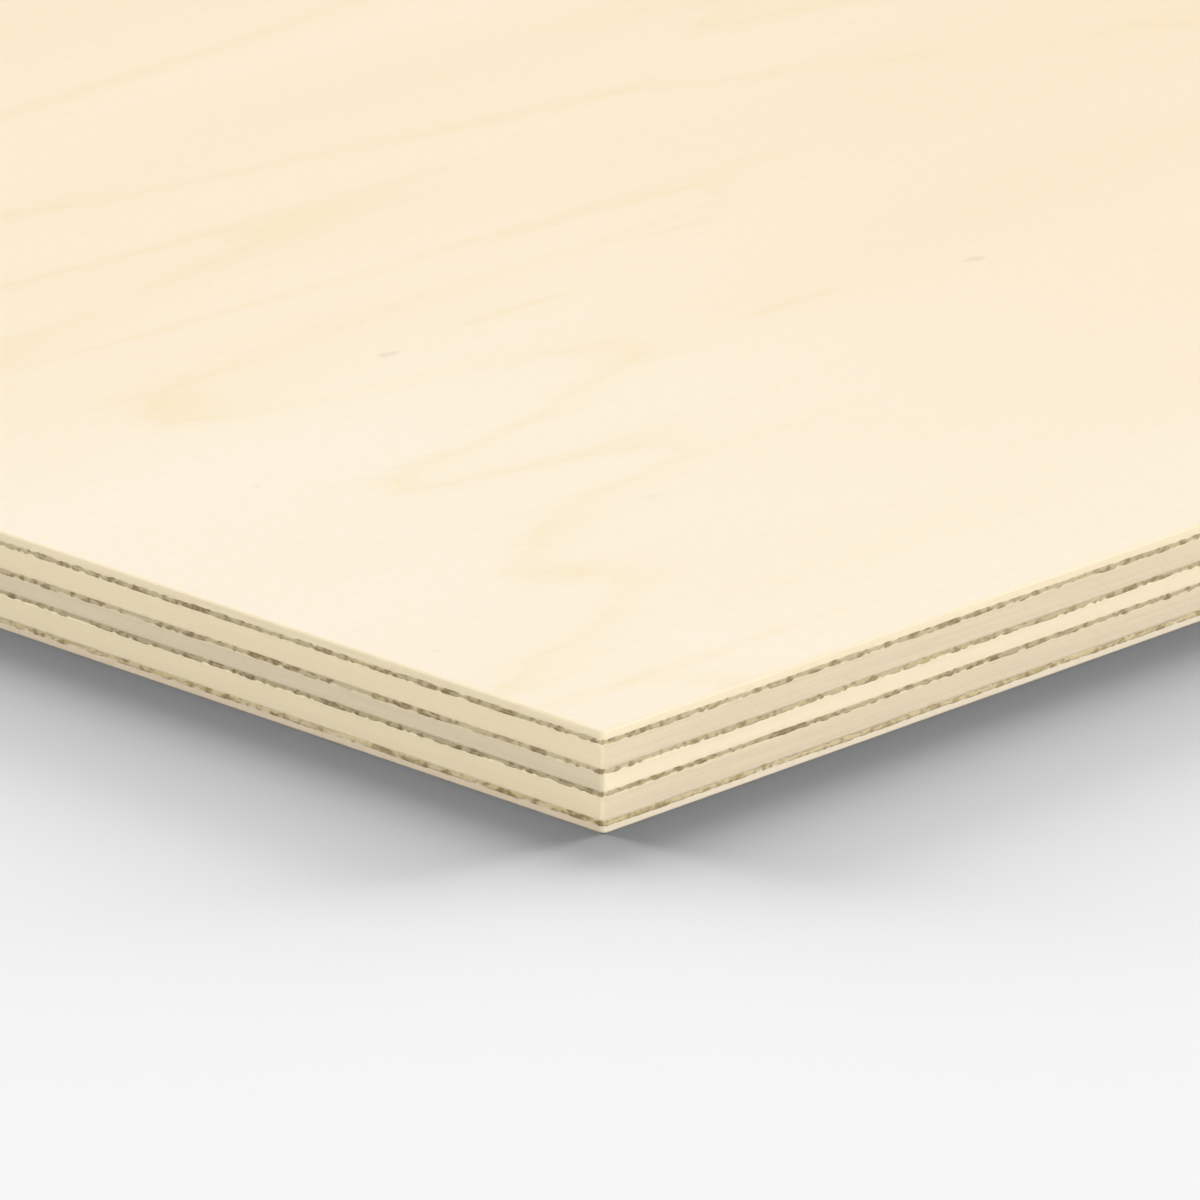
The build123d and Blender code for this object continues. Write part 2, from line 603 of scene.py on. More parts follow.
def sawn_ply(name):
    """A veneer as sawn: a wall round the outline, flat faces above and below, and relief on the wall."""
    n, given = new_tree(SHAPE, name, PLY_INPUTS, Geometry=GEOMETRY)
    rail, outward = outline(n, given)
    section, wall = ply_section(n, given)
    swept = n.out("GeometryNodeCurveToMesh", {"Curve": rail, "Profile Curve": section})
    shell = closed(n, swept, given)
    depth = n.product(saw_relief(n, given, outward), wall, -1.0)
    sunk = n.out("GeometryNodeSetPosition", {"Geometry": shell, "Offset": n.vector("SCALE", outward, depth)})
    edged = finished(n, sunk, given["Edge Material"])
    facing = n.math("ABSOLUTE", n.split(n.out("GeometryNodeInputNormal"))[2])
    level = n.math("GREATER_THAN", facing, LEVEL)
    faces = {"Geometry": edged, "Selection": level, "Material": given["Face Material"]}
    return put_out(n, Geometry=n.out("GeometryNodeSetMaterial", faces))


GLUE_INPUTS = OUTLINE_INPUTS + [
    ("Bottom", 0.0, "Height of the film's back"),
    ("Top", 0.25 * MM, "Height of the film's face"),
    ("Dash Length", 1.7 * MM, "Usual length of a thick stretch"),
    ("Dash Height", 0.5 * MM, "Height of the glue where it is thick"),
    ("Gap Height", 0.25 * MM, "Height of the glue between two thick stretches"),
    ("Bead Depth", 0.12 * MM, "How far the thick glue reaches into the edge"),
    ("Bead Wander", 0.4 * MM, "Range over which the line bends up and down"),
    ("Crown", 0.03 * MM, "Roundness of the glue across its line"),
    ("Sink", 0.008 * MM, "How far the glue lies back between thick stretches"),
    ("Seed", 0.0, "Differs from line to line"),
    ("Edge Material", MATERIAL, "The glue's finish"),
]


def bead_section(n):
    """A glue line's section: its place across the bead from -1 to 1, and 1 on the two rims behind it."""
    ends = {"Start": (0.0, -1.0, 0.0), "End": (0.0, 1.0, 0.0)}
    line = n.out("GeometryNodeCurvePrimitiveLine", ends)
    stepped = n.out("GeometryNodeResampleCurve", {"Curve": line, "Count": BEAD_POINTS}, mode="COUNT")
    level = n.split(n.out("GeometryNodeInputPosition"))[1]
    inner = (BEAD_POINTS - 3) / (BEAD_POINTS - 1)
    kept, across = n.capture(stepped, "FLOAT", "Across", n.ratio(level, inner))
    rim = n.math("GREATER_THAN", n.math("ABSOLUTE", level), (1 + inner) / 2)
    kept, rim = n.capture(kept, "FLOAT", "Rim", rim)
    return kept, across, rim


def thick_share(n, given, along, side, shift):
    """1 in a thick stretch of glue and 0 between two, at a place a little further along the line."""
    length = n.product(given["Dash Length"], 1 / MM)
    place = n.join(n.ratio(n.total(along, shift), length), side, n.product(given["Seed"], 11.0))
    fine = n.noise(place, (1.0, 1.0, 1.0), detail=1.0)
    slow = n.sway(place, (9.0, 1.0, 1.0), 0.5, detail=1.0)
    return n.ramp(n.total(fine, slow), 0.4, 0.54)


def bead_level(n, given, place, thick, across):
    """The height of a point on the bead, which swells, thins and wanders."""
    swell = n.total(0.72, n.product(n.noise(place, (2.4, 1.0, 1.0)), 0.56))
    thick_height = n.product(given["Dash Height"], swell)
    half = n.product(n.blend(thick, given["Gap Height"], thick_height), 0.5)
    middle = n.product(n.total(given["Bottom"], given["Top"]), 0.5)
    wander = n.sway(place, (17.0, 1.0, 1.0), given["Bead Wander"])
    return n.total(middle, wander, n.product(across, half))


def glue_line(name):
    """A film of glue between two plies, with a bead on the sawn edge that is thick in dashes."""
    n, given = new_tree(SHAPE, name, GLUE_INPUTS, Geometry=GEOMETRY)
    rail, outward = outline(n, given)
    section, across, rim = bead_section(n)
    swept = n.out("GeometryNodeCurveToMesh", {"Curve": rail, "Profile Curve": section})
    along, up, side, facing_x, facing_y = side_place(n, outward)
    above = n.math("GREATER_THAN", across, 0.0)
    thick = thick_share(n, given, along, side, n.blend(above, -0.16, 0.16))
    place = n.join(along, side, n.product(given["Seed"], 5.0))
    film_level = n.blend(above, given["Bottom"], given["Top"])
    level = n.blend(rim, bead_level(n, given, place, thick, across), film_level)
    round_off = n.product(n.math("POWER", n.math("ABSOLUTE", across), 4.0), given["Crown"])
    back = n.total(round_off, n.product(n.minus(1.0, thick), given["Sink"]))
    depth = n.product(n.blend(rim, back, given["Bead Depth"]), -1.0)
    moved = n.vector("ADD", n.out("GeometryNodeInputPosition"), n.vector("SCALE", outward, depth))
    x, y, z = n.split(moved)
    shaped = n.out("GeometryNodeSetPosition", {"Geometry": swept, "Position": n.join(x, y, level)})
    named = {"Geometry": shaped, "Name": "thick", "Value": thick}
    marked = n.out("GeometryNodeStoreNamedAttribute", named, data_type="FLOAT", domain="POINT")
    return put_out(n, Geometry=finished(n, closed(n, marked, given), given["Edge Material"]))


def grown(name, tree, values):
    """A plain mesh object made by a Geometry Nodes tree from these values."""
    maker = bpy.data.objects.new(name, bpy.data.meshes.new(name + "_seed"))
    bpy.context.scene.collection.objects.link(maker)
    modifier = maker.modifiers.new("Shape", "NODES")
    modifier.node_group = tree
    for socket in tree.interface.items_tree:
        if socket.in_out == "INPUT" and socket.name in values:
            modifier[socket.identifier] = values[socket.name]
    graph = bpy.context.evaluated_depsgraph_get()
    shape = maker.evaluated_get(graph)
    mesh = bpy.data.meshes.new_from_object(shape, preserve_all_data_layers=True, depsgraph=graph)
    if len(mesh.polygons) == 0:
        raise RuntimeError(f"{name} came out empty")
    maker.modifiers.clear()
    seed, maker.data = maker.data, mesh
    bpy.data.meshes.remove(seed)
    mesh.name = name
    return maker


def read(items, key, width, kind=float):
    """One value of every item of a mesh, as rows of an array."""
    values = np.empty(len(items) * width, kind)
    items.foreach_get(key, values)
    return values.reshape(-1, width)


def strip_places(normal, middle, place, low, high):
    """Where a sawn edge's corners lie on the map, in strips one above another, and how much they fill."""
    end = np.abs(normal[:, 0]) > np.abs(normal[:, 1])
    near = np.where(end, normal[:, 0], normal[:, 1]) < 0
    half = np.where(end, SHEET_WIDTH, SHEET_LENGTH) / 2
    along = np.where(end, place[:, 1], place[:, 0]) + half
    centre = np.where(end, middle[:, 1], middle[:, 0]) + half
    strips = np.round(2 * half / MAP_STRIP)
    strip = np.clip(np.floor(centre / MAP_STRIP), 0, strips - 1)
    first = np.where(end, 0, 2 * np.round(SHEET_WIDTH / MAP_STRIP)) + near * strips
    up = (place[:, 2] - low.z) / (high.z - low.z)
    held = np.clip(up, -MAP_MARGIN / 2, 1 + MAP_MARGIN / 2)
    row = ((high.z - low.z) / MAP_STRIP + MAP_GAP) * (1 - 2 * MAP_GAP)
    u = MAP_GAP + (along / MAP_STRIP - strip) * (1 - 2 * MAP_GAP)
    v = (first + strip + MAP_MARGIN + held * (1 - 2 * MAP_MARGIN)) * row
    rows = 2 * round((SHEET_WIDTH + SHEET_LENGTH) / MAP_STRIP)
    return u, v, rows * row


def face_places(normal, place, filled, shows_back):
    """Where the two flat faces' corners lie on the map, above the strips, the one that shows in more room."""
    left = 1 - filled - MAP_GAP
    main = min(MAP_FACE, 0.75 * left)
    shown = (normal[:, 2] < 0) == shows_back
    tall = np.where(shown, main, left - main - MAP_GAP)
    start = filled + np.where(shown, 0, main + MAP_GAP)
    u = (place[:, 0] + SHEET_LENGTH / 2) / SHEET_LENGTH
    return u, start + (place[:, 1] + SHEET_WIDTH / 2) / SHEET_WIDTH * tall


def lay_out(piece, node, shows_back):
    """A map for baking: the sawn edges in strips one above another, and the two faces above them."""
    mesh = piece.data
    sizes = read(mesh.polygons, "loop_total", 1, int)[:, 0]
    normal = np.repeat(read(mesh.polygons, "normal", 3), sizes, axis=0)
    middle = np.repeat(read(mesh.polygons, "center", 3), sizes, axis=0)
    place = read(mesh.vertices, "co", 3)[read(mesh.loops, "vertex_index", 1, int)[:, 0]]
    *edge, filled = strip_places(normal, middle, place, *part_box(node))
    face = face_places(normal, place, filled, shows_back)
    flat = np.abs(normal[:, 2]) > MAP_UPRIGHT
    uv = np.where(flat, face, edge)
    mesh.uv_layers.new(name="OFBake").data.foreach_set("uv", uv.T.ravel())


def seat(piece, node, shows_back=False):
    """Puts a finished piece in the place of a CAD node."""
    lay_out(piece, node, shows_back)
    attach(piece, BODY)
    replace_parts(piece, node)
    piece.visible_diffuse = False


def make_ply(scene, node, edge, face=None, across=False, face_arris=False, back_arris=False):
    """One veneer in the place of its CAD node, with the finish of its sawn edge and of its faces."""
    sizes = scene.sheet_sizes
    low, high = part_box(node)
    values = titled(sizes) | titled(scene.edge_relief) | {
        "Bottom": low.z,
        "Top": high.z,
        "Face Arris": sizes.arris_radius * face_arris,
        "Back Arris": sizes.arris_radius * back_arris,
        "Grain Across": float(across),
        "Seed": float(LAYERS.index(node)),
        "Edge Material": edge,
        "Face Material": face or edge,
    }
    if face_arris or back_arris:
        values["Row Pitch"] = sizes.arris_row_pitch
    seat(grown(node + "_sawn", once(sawn_ply), values), node, shows_back=back_arris)


def make_glue_line(scene, node, material):
    """One glue line in the place of its CAD node."""
    low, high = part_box(node)
    values = titled(scene.sheet_sizes) | titled(scene.glue_look) | {
        "Bottom": low.z,
        "Top": high.z,
        "Seed": float(LAYERS.index(node)),
        "Edge Material": material,
    }
    seat(grown(node + "_bead", once(glue_line), values), node)


def shader_place(n):
    """Place on the object in millimetres."""
    objects = n.add("ShaderNodeTexCoord").outputs["Object"]
    return n.vector("SCALE", objects, 1 / MM)


def cut_face(name):
    """Tells end grain from long grain on a sawn edge, and places a pattern along and up each side."""
    inputs = [("Grain", (1.0, 0.0, 0.0), "Direction of the grain"), ("Place", VECTOR, "In millimetres")]
    n, given = new_tree(PATTERN, name, inputs, End_Grain=FLOAT, Side_Place=VECTOR)
    normal = n.add("ShaderNodeNewGeometry").outputs["Normal"]
    x, y, z = n.split(given["Place"])
    steep_x, steep_y, steep_z = n.split(n.vector("ABSOLUTE", normal))
    cut = n.math("ABSOLUTE", n.vector("DOT_PRODUCT", normal, given["Grain"]))
    along = n.blend(n.math("GREATER_THAN", steep_x, steep_y), x, y)
    whole = n.vector("FLOOR", n.vector("ADD", normal, (0.5, 0.5, 0.5)))
    side = n.vector("DOT_PRODUCT", whole, SIDE_CODE)
    return put_out(n, End_Grain=n.ramp(cut, 0.4, 0.85), Side_Place=n.join(along, z, side))


def fibres(name):
    """Fine streaks along the grain, from 0 to 1."""
    inputs = [
        ("Place", VECTOR, "In millimetres, X along the grain"),
        ("Length", 30.0, "Usual length of a streak, in mm"),
        ("Width", 0.5, "Usual width of a streak, in mm"),
    ]
    n, given = new_tree(PATTERN, name, inputs, Streak=FLOAT)
    sizes = n.join(given["Length"], given["Width"], given["Width"])
    fine = n.noise(given["Place"], sizes, detail=3.0, roughness=0.6)
    broad = n.noise(given["Place"], n.vector("SCALE", sizes, 5.0), detail=1.0)
    return put_out(n, Streak=n.ramp(n.total(n.product(fine, 0.65), n.product(broad, 0.35)), 0.32, 0.68))


SIDE_INPUTS = [
    ("Side Place", VECTOR, "Along the side and up it, in mm"),
    ("Bottom", 0.0, "Height of the ply's back, in mm"),
    ("Top", 3.0, "Height of the ply's face, in mm"),
]


def end_grain_marks(name):
    """Marks of sawn end grain: growth rings along the ply, pores, and slanted checks that peeling leaves."""
    inputs = SIDE_INPUTS + [
        ("Check Spacing", 1.6, "Usual distance between two checks, in mm"),
        ("Check Lean", 1.3, "How far a check leans for each mm of height"),
    ]
    n, given = new_tree(PATTERN, name, inputs, Rings=FLOAT, Pores=FLOAT, Checks=FLOAT)
    place, bottom = given["Side Place"], given["Bottom"]
    along, up, side = n.split(place)
    rings = n.patches(place, (26.0, 0.45, 1.0), 0.35, 0.65)
    pore_place = n.vector("DIVIDE", place, (0.34, 0.3, 1.0))
    cells = n.add("ShaderNodeTexVoronoi", {"Vector": pore_place, "Scale": 1.0})
    pores = n.ramp(cells.outputs["Distance"], 0.12, 0.34, 1.0, 0.0)
    bend = n.product(n.noise(place, (3.0, 1.6, 1.0)), 1.3)
    turns = n.ratio(n.total(along, n.product(up, given["Check Lean"]), bend), given["Check Spacing"])
    offset = n.math("ABSOLUTE", n.minus(n.math("FRACT", turns), 0.5))
    seed = n.join(n.math("FLOOR", turns), side, bottom)
    chance = n.add("ShaderNodeTexWhiteNoise", {"Vector": seed}, noise_dimensions="3D")
    reach, strength, spare = n.split(chance.outputs["Color"])
    climb = n.ratio(n.minus(up, bottom), n.minus(given["Top"], bottom))
    tip = n.product(reach, 0.75)
    tall = n.ramp(climb, tip, n.total(tip, 0.2), 1.0, 0.0)
    line = n.ramp(offset, 0.03, 0.16, 1.0, 0.0)
    checks = n.product(line, tall, n.ramp(strength, 0.3, 1.0))
    return put_out(n, Rings=rings, Pores=pores, Checks=checks)


def glue_stain(name):
    """How much glue has soaked into a sawn edge, next to the glue lines above and below it."""
    inputs = SIDE_INPUTS + [
        ("Below", 1.0, "1 where a glue line lies under the ply"),
        ("Above", 1.0, "1 where a glue line lies on the ply"),
        ("Reach", 0.1, "Height over which the stain fades, in mm"),
    ]
    n, given = new_tree(PATTERN, name, inputs, Stain=FLOAT)
    along, up, side = n.split(given["Side Place"])
    uneven = n.total(0.4, n.product(n.patches(given["Side Place"], (1.5, 4.0, 1.0)), 1.2))
    reach = n.product(given["Reach"], uneven, -1.0)
    low = n.math("EXPONENT", n.ratio(n.minus(up, given["Bottom"]), reach))
    high = n.math("EXPONENT", n.ratio(n.minus(given["Top"], up), reach))
    stain = n.math("MAXIMUM", n.product(low, given["Below"]), n.product(high, given["Above"]))
    return put_out(n, Stain=n.math("MINIMUM", stain, 1.0))


CORNER_PLACE = ("Place", VECTOR, "In millimetres from the near corner")


def ring_route(name):
    """How far along the sheet the first growth ring lies, at each place across it."""
    n, given = new_tree(PATTERN, name, [CORNER_PLACE], Along=FLOAT)
    x, y, z = n.split(given["Place"])
    curve = n.add("ShaderNodeFloatCurve", {"Value": n.ratio(y, ROUTE_WIDTH)})
    points = curve.mapping.curves[0].points
    places = [(across / ROUTE_WIDTH, (along - ROUTE_LEAST) / ROUTE_SPAN) for across, along in RING_ROUTE]
    points[0].location, points[1].location = places[0], places[-1]
    for place in places[1:-1]:
        points.new(*place)
    for point in points:
        point.handle_type = "AUTO_CLAMPED"
    curve.mapping.update()
    near = n.total(n.product(curve.outputs[0], ROUTE_SPAN), ROUTE_LEAST)
    flames = n.sway(given["Place"], (420.0, 15.0, 50.0), 190.0, detail=1.0)
    sweeps = n.sway(given["Place"], (900.0, 95.0, 50.0), 900.0, detail=1.0)
    past = n.math("MAXIMUM", n.ramp(y, 160.0, 185.0), n.ramp(x, 140.0, 230.0))
    return put_out(n, Along=n.blend(past, near, n.total(flames, sweeps)))


def ring_figure(name):
    """Growth rings on a peeled face: a soft honey line where each one surfaces, and warm wood beyond it."""
    inputs = [
        CORNER_PLACE,
        ("Spacing", 165.0, "Distance along the grain from ring to ring, in mm"),
        ("Line", 1.3, "Width over which a line fades, in mm"),
        ("Tone", 16.0, "Width over which the warm wood fades, in mm"),
    ]
    n, given = new_tree(PATTERN, name, inputs, Line=FLOAT, Tone=FLOAT)
    place, spacing, width = given["Place"], given["Spacing"], given["Line"]
    x, y, z = n.split(place)
    here = n.use(ring_route, Place=place)["Along"]
    ahead = n.use(ring_route, Place=n.vector("ADD", place, (0.0, 1.0, 0.0)))["Along"]
    slope = n.minus(ahead, here)
    square = n.math("SQRT", n.total(1.0, n.product(slope, slope)))
    waver = n.sway(place, (9.0, 2.0, 9.0), 8.0, detail=3.0)
    turns = n.ratio(n.total(n.minus(x, here), waver), spacing)
    past = n.product(n.math("FRACT", turns), spacing)
    beyond = n.ratio(n.ratio(past, square), width)
    before = n.ratio(n.ratio(n.minus(spacing, past), square), n.product(width, 0.7))
    near = n.math("MINIMUM", beyond, before)
    blotch = n.patches(place, (8.0, 1.8, 6.0), 0.3, 0.62, 0.35)
    line = n.product(n.math("EXPONENT", n.product(near, near, -1.0)), blotch)
    tone = n.math("EXPONENT", n.ratio(past, n.product(given["Tone"], -1.0)))
    uneven = n.patches(place, (45.0, 9.0, 9.0), 0.3, 0.62, 0.3, detail=1.0)
    return put_out(n, Line=n.product(line, uneven), Tone=n.product(tone, uneven))


def soft_spot(name):
    """A small soft oval mark, longer along the grain."""
    inputs = [
        ("Place", VECTOR, "In millimetres"),
        ("Centre", (0.0, 0.0, 0.0), "Middle of the mark, in the same way"),
        ("Half Size", (1.0, 1.0, 1.0), "Half its length and half its width, in mm"),
        ("Strength", 1.0, "How strongly it shows"),
    ]
    n, given = new_tree(PATTERN, name, inputs, Mark=FLOAT)
    offset = n.vector("DIVIDE", n.vector("SUBTRACT", given["Place"], given["Centre"]), given["Half Size"])
    away = n.vector("LENGTH", offset)
    return put_out(n, Mark=n.product(n.ramp(away, 0.3, 1.2, 1.0, 0.0), given["Strength"]))


def new_material(name):
    """A material with only its output and a Principled shader, and the nodes helper for it."""
    material = bpy.data.materials.new(name)
    material.use_nodes = True
    material.node_tree.nodes.clear()
    n = Nodes(material.node_tree)
    shader = n.add("ShaderNodeBsdfPrincipled")
    n.add("ShaderNodeOutputMaterial", {"Surface": shader.outputs[0]})
    return material, n, shader


def coat(n, shader, colour, roughness, shine):
    """Gives the shader its colour, its roughness and how strongly it mirrors."""
    n.feed(shader.inputs["Base Color"], colour)
    n.feed(shader.inputs["Roughness"], roughness)
    shader.inputs["Specular IOR Level"].default_value = shine


def rgba(colour):
    return (*colour, 1.0)


def shade(colour, tone):
    """A colour made darker or paler."""
    return tuple(tone * channel for channel in colour)


def ragged(n, place, size, push):
    """A level place pushed about by up to that much, which makes soft outlines uneven."""
    x, y, z = n.split(place)
    level = n.join(x, y, 0.0)
    swirl = n.add("ShaderNodeTexNoise", {"Vector": level, "Scale": 1 / size, "Detail": 1.0}).outputs["Color"]
    return n.vector("ADD", level, n.vector("MULTIPLY", n.vector("SUBTRACT", swirl, (0.5, 0.5, 0.5)), push))


def spots(n, place, marks):
    """The strongest of several small marks at each place."""
    strongest = 0.0
    for along, across, half_length, half_width, strength in marks:
        centre, half_size = (along, across, 0.0), (half_length, half_width, 1.0)
        mark = n.use(soft_spot, Place=place, Centre=centre, Half_Size=half_size, Strength=strength)["Mark"]
        strongest = n.math("MAXIMUM", strongest, mark)
    return strongest


def ring_colour(n, scene, place, colour, line_share, tone_share, fades=()):
    """A colour with the growth-ring figure over it."""
    figure = scene.ring_figure
    rings = n.use(ring_figure, Place=place, Spacing=figure.spacing, Line=figure.line, Tone=figure.tone)
    share = n.total(n.product(rings["Line"], line_share), n.product(rings["Tone"], tone_share))
    share = n.product(share, n.minus(1.0, spots(n, place, fades)))
    return n.tint(share, colour, rgba(scene.wood_colours.ring))


def face_material(scene):
    """The sanded face: pale wood that drifts warmer, growth rings, fine streaks and small marks."""
    material, n, shader = new_material("Face")
    colours = scene.wood_colours
    near = n.vector("SUBTRACT", shader_place(n), (LEAST.x / MM, LEAST.y / MM, 0.0))
    streak = n.use(fibres, Place=near, Length=26.0, Width=0.35)["Streak"]
    distance = n.ramp(n.vector("LENGTH", near), 60.0, 200.0)
    cloud = n.patches(near, (170.0, 45.0, 60.0), detail=1.0)
    drift = n.total(n.product(distance, 0.62), n.product(cloud, 0.28))
    colour = n.tint(drift, rgba(colours.face), rgba(colours.face_far))
    colour = ring_colour(n, scene, near, colour, 0.2, 0.14, RING_FADES)
    pushed = ragged(n, near, 1.4, (1.6, 0.9, 0.0))
    mottle = n.patches(near, (2.6, 1.1, 1.1), detail=3.0, roughness=0.65)
    fine = n.total(n.product(streak, 0.05), n.product(mottle, 0.12))
    smears = n.total(n.product(spots(n, pushed, FACE_SMEARS), 0.4), fine)
    colour = n.tint(smears, colour, rgba(colours.ring))
    colour = n.tint(spots(n, pushed, FACE_FLECKS), colour, rgba(colours.fleck))
    coat(n, shader, colour, n.total(0.54, n.product(streak, 0.08)), 0.0)
    return material


def back_material(scene):
    """The sanded back, a plainer veneer with the same kind of figure."""
    material, n, shader = new_material("Back")
    colours = scene.wood_colours
    elsewhere = n.vector("ADD", shader_place(n), BACK_FIGURE)
    streak = n.use(fibres, Place=elsewhere, Length=22.0, Width=0.4)["Streak"]
    colour = ring_colour(n, scene, elsewhere, rgba(colours.back), 0.4, 0.2)
    colour = n.tint(n.product(streak, 0.12), colour, rgba(colours.ring))
    coat(n, shader, colour, n.total(0.56, n.product(streak, 0.08)), 0.0)
    return material


def edge_material(scene, name, node, long_colour, end_colour, across=False):
    """A ply's sawn edges: end grain where the saw crossed the grain, and long grain where it followed it."""
    material, n, shader = new_material(name)
    look = scene.glue_look
    low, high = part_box(node)
    place = shader_place(n)
    x, y, z = n.split(place)
    grain_place = n.join(y, x, z) if across else place
    grain = (0.0, 1.0, 0.0) if across else (1.0, 0.0, 0.0)
    streak = n.use(fibres, Place=grain_place, Length=26.0, Width=0.28)["Streak"]
    cut = n.use(cut_face, Grain=grain, Place=place)
    ply = {"Side Place": cut["Side Place"], "Bottom": low.z / MM, "Top": high.z / MM}
    marks = n.use(end_grain_marks, **ply)
    below, above = float(node != LAYERS[0]), float(node != LAYERS[-1])
    stain = n.use(glue_stain, **ply, Below=below, Above=above, Reach=look.stain_reach)["Stain"]
    long_grain = n.tint(n.product(streak, 0.16), rgba(long_colour), rgba(shade(long_colour, 0.78)))
    rings, pores = n.product(marks["Rings"], 0.12), n.product(marks["Pores"], 0.09)
    checks = n.product(marks["Checks"], 0.08)
    end_grain = n.tint(n.total(rings, pores, checks), rgba(end_colour), rgba(shade(end_colour, 0.62)))
    colour = n.tint(cut["End Grain"], long_grain, end_grain)
    colour = n.tint(n.product(stain, 0.5), colour, rgba(look.pale))
    coat(n, shader, colour, n.total(0.56, n.product(streak, 0.08)), 0.25)
    return material


def glue_material(scene, node, tone):
    """Cured glue: dark where it is thick, and paler where it is thin and lies back."""
    material, n, shader = new_material(spaced(node).title())
    look = scene.glue_look
    thick = n.add("ShaderNodeAttribute", attribute_name="thick").outputs["Fac"]
    place = shader_place(n)
    mottle = n.noise(place, (0.7, 0.7, 0.3))
    blotch = n.patches(place, (1.5, 1.5, 0.9), 0.4, 0.58, 0.15, detail=1.0)
    share = n.product(thick, n.ramp(mottle, 0.3, 0.6, 0.55, 1.0), blotch)
    resin = n.patches(place, (13.0, 13.0, 3.0), 0.52, 0.66, detail=1.0)
    end = n.use(cut_face, Grain=(1.0, 0.0, 0.0), Place=place)["End Grain"]
    thin = n.tint(resin, rgba(look.pale), rgba(look.resin))
    thin = n.vector("SCALE", thin, n.blend(end, look.long_side_tone, 1.0))
    dark = n.tint(end, rgba(look.dark_long), rgba(look.dark))
    colour = n.vector("SCALE", n.tint(share, thin, dark), tone)
    coat(n, shader, colour, n.blend(thick, 0.6, 0.45), 0.35)
    bump = n.out("ShaderNodeBump", {"Strength": 0.5, "Distance": MM, "Height": n.product(mottle, 0.05)})
    n.feed(shader.inputs["Normal"], bump)
    return material


def direction_from(azimuth, elevation):
    """The direction towards a viewer or a light. Azimuth 0 stands at -Y and 90 at +X."""
    level = math.cos(elevation)
    return Vector((math.sin(azimuth) * level, -math.cos(azimuth) * level, math.sin(elevation)))


def receivers(name, objects):
    """A collection that a light shines on and on nothing else."""
    collection = bpy.data.collections.new(name)
    for item in objects:
        collection.objects.link(item)
    return collection


def soft_sun(name, azimuth, elevation, spread, strength, receiver):
    """A sun that comes from an azimuth and an elevation, in degrees, over a cone of that spread."""
    light = bpy.data.lights.new(name, "SUN")
    light.energy = strength
    light.angle = math.radians(spread)
    light.cycles.use_multiple_importance_sampling = False
    lamp = bpy.data.objects.new(name, light)
    bpy.context.scene.collection.objects.link(lamp)
    towards = direction_from(math.radians(azimuth), math.radians(elevation))
    lamp.rotation_mode = "QUATERNION"
    lamp.rotation_quaternion = towards.to_track_quat("Z", "Y")
    lamp.light_linking.receiver_collection = receiver


def add_floor(look):
    half = look.floor_size / 2
    level = LEAST.z - TINY
    mesh = bpy.data.meshes.new("floor")
    corners = [(-half, -half, level), (half, -half, level), (half, half, level), (-half, half, level)]
    mesh.from_pydata(corners, [], [(0, 1, 2, 3)])
    floor = bpy.data.objects.new("floor", mesh)
    bpy.context.scene.collection.objects.link(floor)
    material, n, shader = new_material("Studio Floor")
    coat(n, shader, rgba([look.floor_tone] * 3), 1.0, 0.0)
    mesh.materials.append(material)
    floor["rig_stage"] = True
    return floor


def add_lights(floor):
    on_floor = receivers("lit_floor", [floor])
    on_sheet = receivers("lit_sheet", [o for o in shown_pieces() if "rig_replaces" in o])
    for sun in FLOOR_SUNS:
        soft_sun(*sun, on_floor)
    for sun in SHEET_SUNS:
        soft_sun(*sun, on_sheet)


def add_world(look):
    """Even dim light from all round, which the camera sees as the floor's own pale tone."""
    world = bpy.data.worlds.new("studio")
    bpy.context.scene.world = world
    world.use_nodes = True
    world.cycles.sampling_method = "NONE"
    world.node_tree.nodes.clear()
    n = Nodes(world.node_tree)
    rays = n.add("ShaderNodeLightPath").outputs
    mirrored = n.math("MAXIMUM", rays["Is Glossy Ray"], rays["Is Transmission Ray"])
    seen = n.math("MAXIMUM", rays["Is Camera Ray"], mirrored)
    strength = n.blend(seen, look.ambient, look.lit_tone)
    background = n.out("ShaderNodeBackground", {"Color": rgba((1.0, 1.0, 1.0)), "Strength": strength})
    n.add("ShaderNodeOutputWorld", {"Surface": background})


def add_camera(look):
    back = direction_from(look.camera_azimuth, look.camera_elevation)
    right = Vector((math.cos(look.camera_azimuth), math.sin(look.camera_azimuth), 0.0))
    up = back.cross(right)
    corner = Vector((LEAST.x, LEAST.y, (LEAST.z + MOST.z) / 2))
    data = bpy.data.cameras.new("camera")
    data.lens = look.camera_lens
    data.sensor_width = 36.0
    data.clip_start = 0.01
    data.clip_end = 500.0
    camera = bpy.data.objects.new("camera", data)
    bpy.context.scene.collection.objects.link(camera)
    camera.location = corner + back * look.camera_distance + right * look.aim_right + up * look.aim_up
    camera.rotation_mode = "QUATERNION"
    camera.rotation_quaternion = (-back).to_track_quat("-Z", "Y")
    bpy.context.scene.camera = camera


class SHEET_OT_face_veneer(bpy.types.Operator):
    """Makes the face veneer, with its growth rings and its eased arris"""

    bl_idname = "sheet.face_veneer"
    bl_label = "Face Veneer"

    def execute(self, context):
        scene, colours = context.scene, context.scene.wood_colours
        edge = edge_material(scene, "Face Veneer Edge", "face_veneer", colours.outer_long, colours.outer_end)
        make_ply(scene, "face_veneer", edge, face_material(scene), face_arris=True)
        return {"FINISHED"}


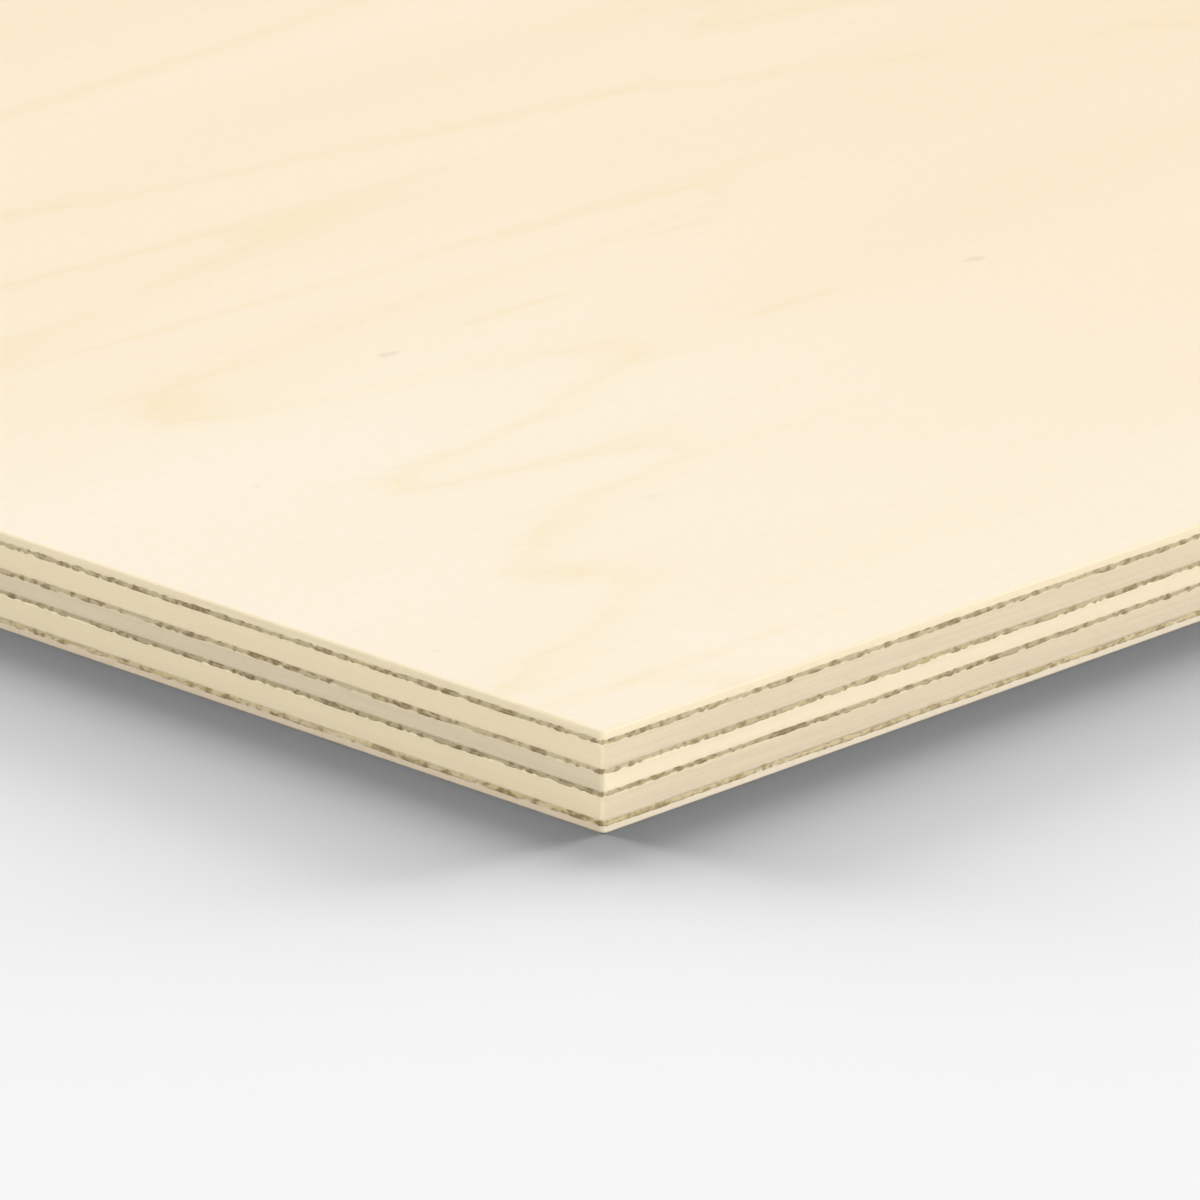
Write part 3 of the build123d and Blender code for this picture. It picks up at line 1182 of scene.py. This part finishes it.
class SHEET_OT_crossbands(bpy.types.Operator):
    """Makes the two thick crossbands, whose grain runs across the sheet"""

    bl_idname = "sheet.crossbands"
    bl_label = "Crossbands"

    def execute(self, context):
        scene, colours = context.scene, context.scene.wood_colours
        # The lower crossband's colours are scaled up as painted light, against the shade near the floor
        for node, tone in (("upper_crossband", 1.0), ("lower_crossband", colours.lower_crossband_tone)):
            long_colour, end_colour = shade(colours.crossband_long, tone), shade(colours.crossband_end, tone)
            edge = edge_material(scene, spaced(node).title(), node, long_colour, end_colour, across=True)
            make_ply(scene, node, edge, across=True)
        return {"FINISHED"}


class SHEET_OT_centre_ply(bpy.types.Operator):
    """Makes the centre ply, whose grain runs along the sheet"""

    bl_idname = "sheet.centre_ply"
    bl_label = "Centre Ply"

    def execute(self, context):
        scene, colours = context.scene, context.scene.wood_colours
        edge = edge_material(scene, "Centre Ply", "centre_ply", colours.centre_long, colours.centre_end)
        make_ply(scene, "centre_ply", edge)
        return {"FINISHED"}


class SHEET_OT_back_veneer(bpy.types.Operator):
    """Makes the back veneer, with its eased arris"""

    bl_idname = "sheet.back_veneer"
    bl_label = "Back Veneer"

    def execute(self, context):
        scene, colours = context.scene, context.scene.wood_colours
        edge = edge_material(scene, "Back Veneer Edge", "back_veneer", colours.back_long, colours.back_end)
        make_ply(scene, "back_veneer", edge, back_material(scene), back_arris=True)
        return {"FINISHED"}


class SHEET_OT_glue_lines(bpy.types.Operator):
    """Makes the four glue lines, with the dashes of thick glue that show on the sawn edges"""

    bl_idname = "sheet.glue_lines"
    bl_label = "Glue Lines"

    def execute(self, context):
        for node, tone in GLUE_TONES.items():
            make_glue_line(context.scene, node, glue_material(context.scene, node, tone))
        return {"FINISHED"}


class SHEET_OT_stage(bpy.types.Operator):
    """Makes the floor, the lights, the background and the camera"""

    bl_idname = "sheet.stage"
    bl_label = "Stage"

    def execute(self, context):
        look = context.scene.studio_look
        add_lights(add_floor(look))
        add_world(look)
        add_camera(look)
        context.scene.view_settings.view_transform = "Standard"
        return {"FINISHED"}


PROPERTY_GROUPS = {
    "sheet_sizes": SheetSizes,
    "edge_relief": EdgeRelief,
    "wood_colours": WoodColours,
    "ring_figure": RingFigure,
    "glue_look": GlueLook,
    "studio_look": StudioLook,
}
OPERATORS = [
    SHEET_OT_face_veneer,
    SHEET_OT_crossbands,
    SHEET_OT_centre_ply,
    SHEET_OT_back_veneer,
    SHEET_OT_glue_lines,
    SHEET_OT_stage,
]


class SHEET_PT_panel(bpy.types.Panel):
    """Lists what makes the sheet, and the sizes and colours that it is made with"""

    bl_idname = "SHEET_PT_panel"
    bl_label = "Plywood Sheet"
    bl_space_type = "VIEW_3D"
    bl_region_type = "UI"
    bl_category = "Plywood"

    def draw(self, context):
        for operator in OPERATORS:
            self.layout.operator(operator.bl_idname)
        for name in PROPERTY_GROUPS:
            box = self.layout.box()
            group = getattr(context.scene, name)
            for setting in settings_of(group):
                box.prop(group, setting)


def register():
    for name, group in PROPERTY_GROUPS.items():
        bpy.utils.register_class(group)
        setattr(bpy.types.Scene, name, bpy.props.PointerProperty(type=group))
    for kind in OPERATORS + [SHEET_PT_panel]:
        bpy.utils.register_class(kind)


def unregister():
    for kind in reversed(OPERATORS + [SHEET_PT_panel]):
        bpy.utils.unregister_class(kind)
    for name, group in PROPERTY_GROUPS.items():
        delattr(bpy.types.Scene, name)
        bpy.utils.unregister_class(group)


def write_sizes():
    """Brings the scene's objects up to date."""
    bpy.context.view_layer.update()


def main():
    register()
    bpy.ops.sheet.face_veneer()
    bpy.ops.sheet.crossbands()
    bpy.ops.sheet.centre_ply()
    bpy.ops.sheet.back_veneer()
    bpy.ops.sheet.glue_lines()
    bpy.ops.sheet.stage()
    write_sizes()


if __name__ == "__main__":
    main()
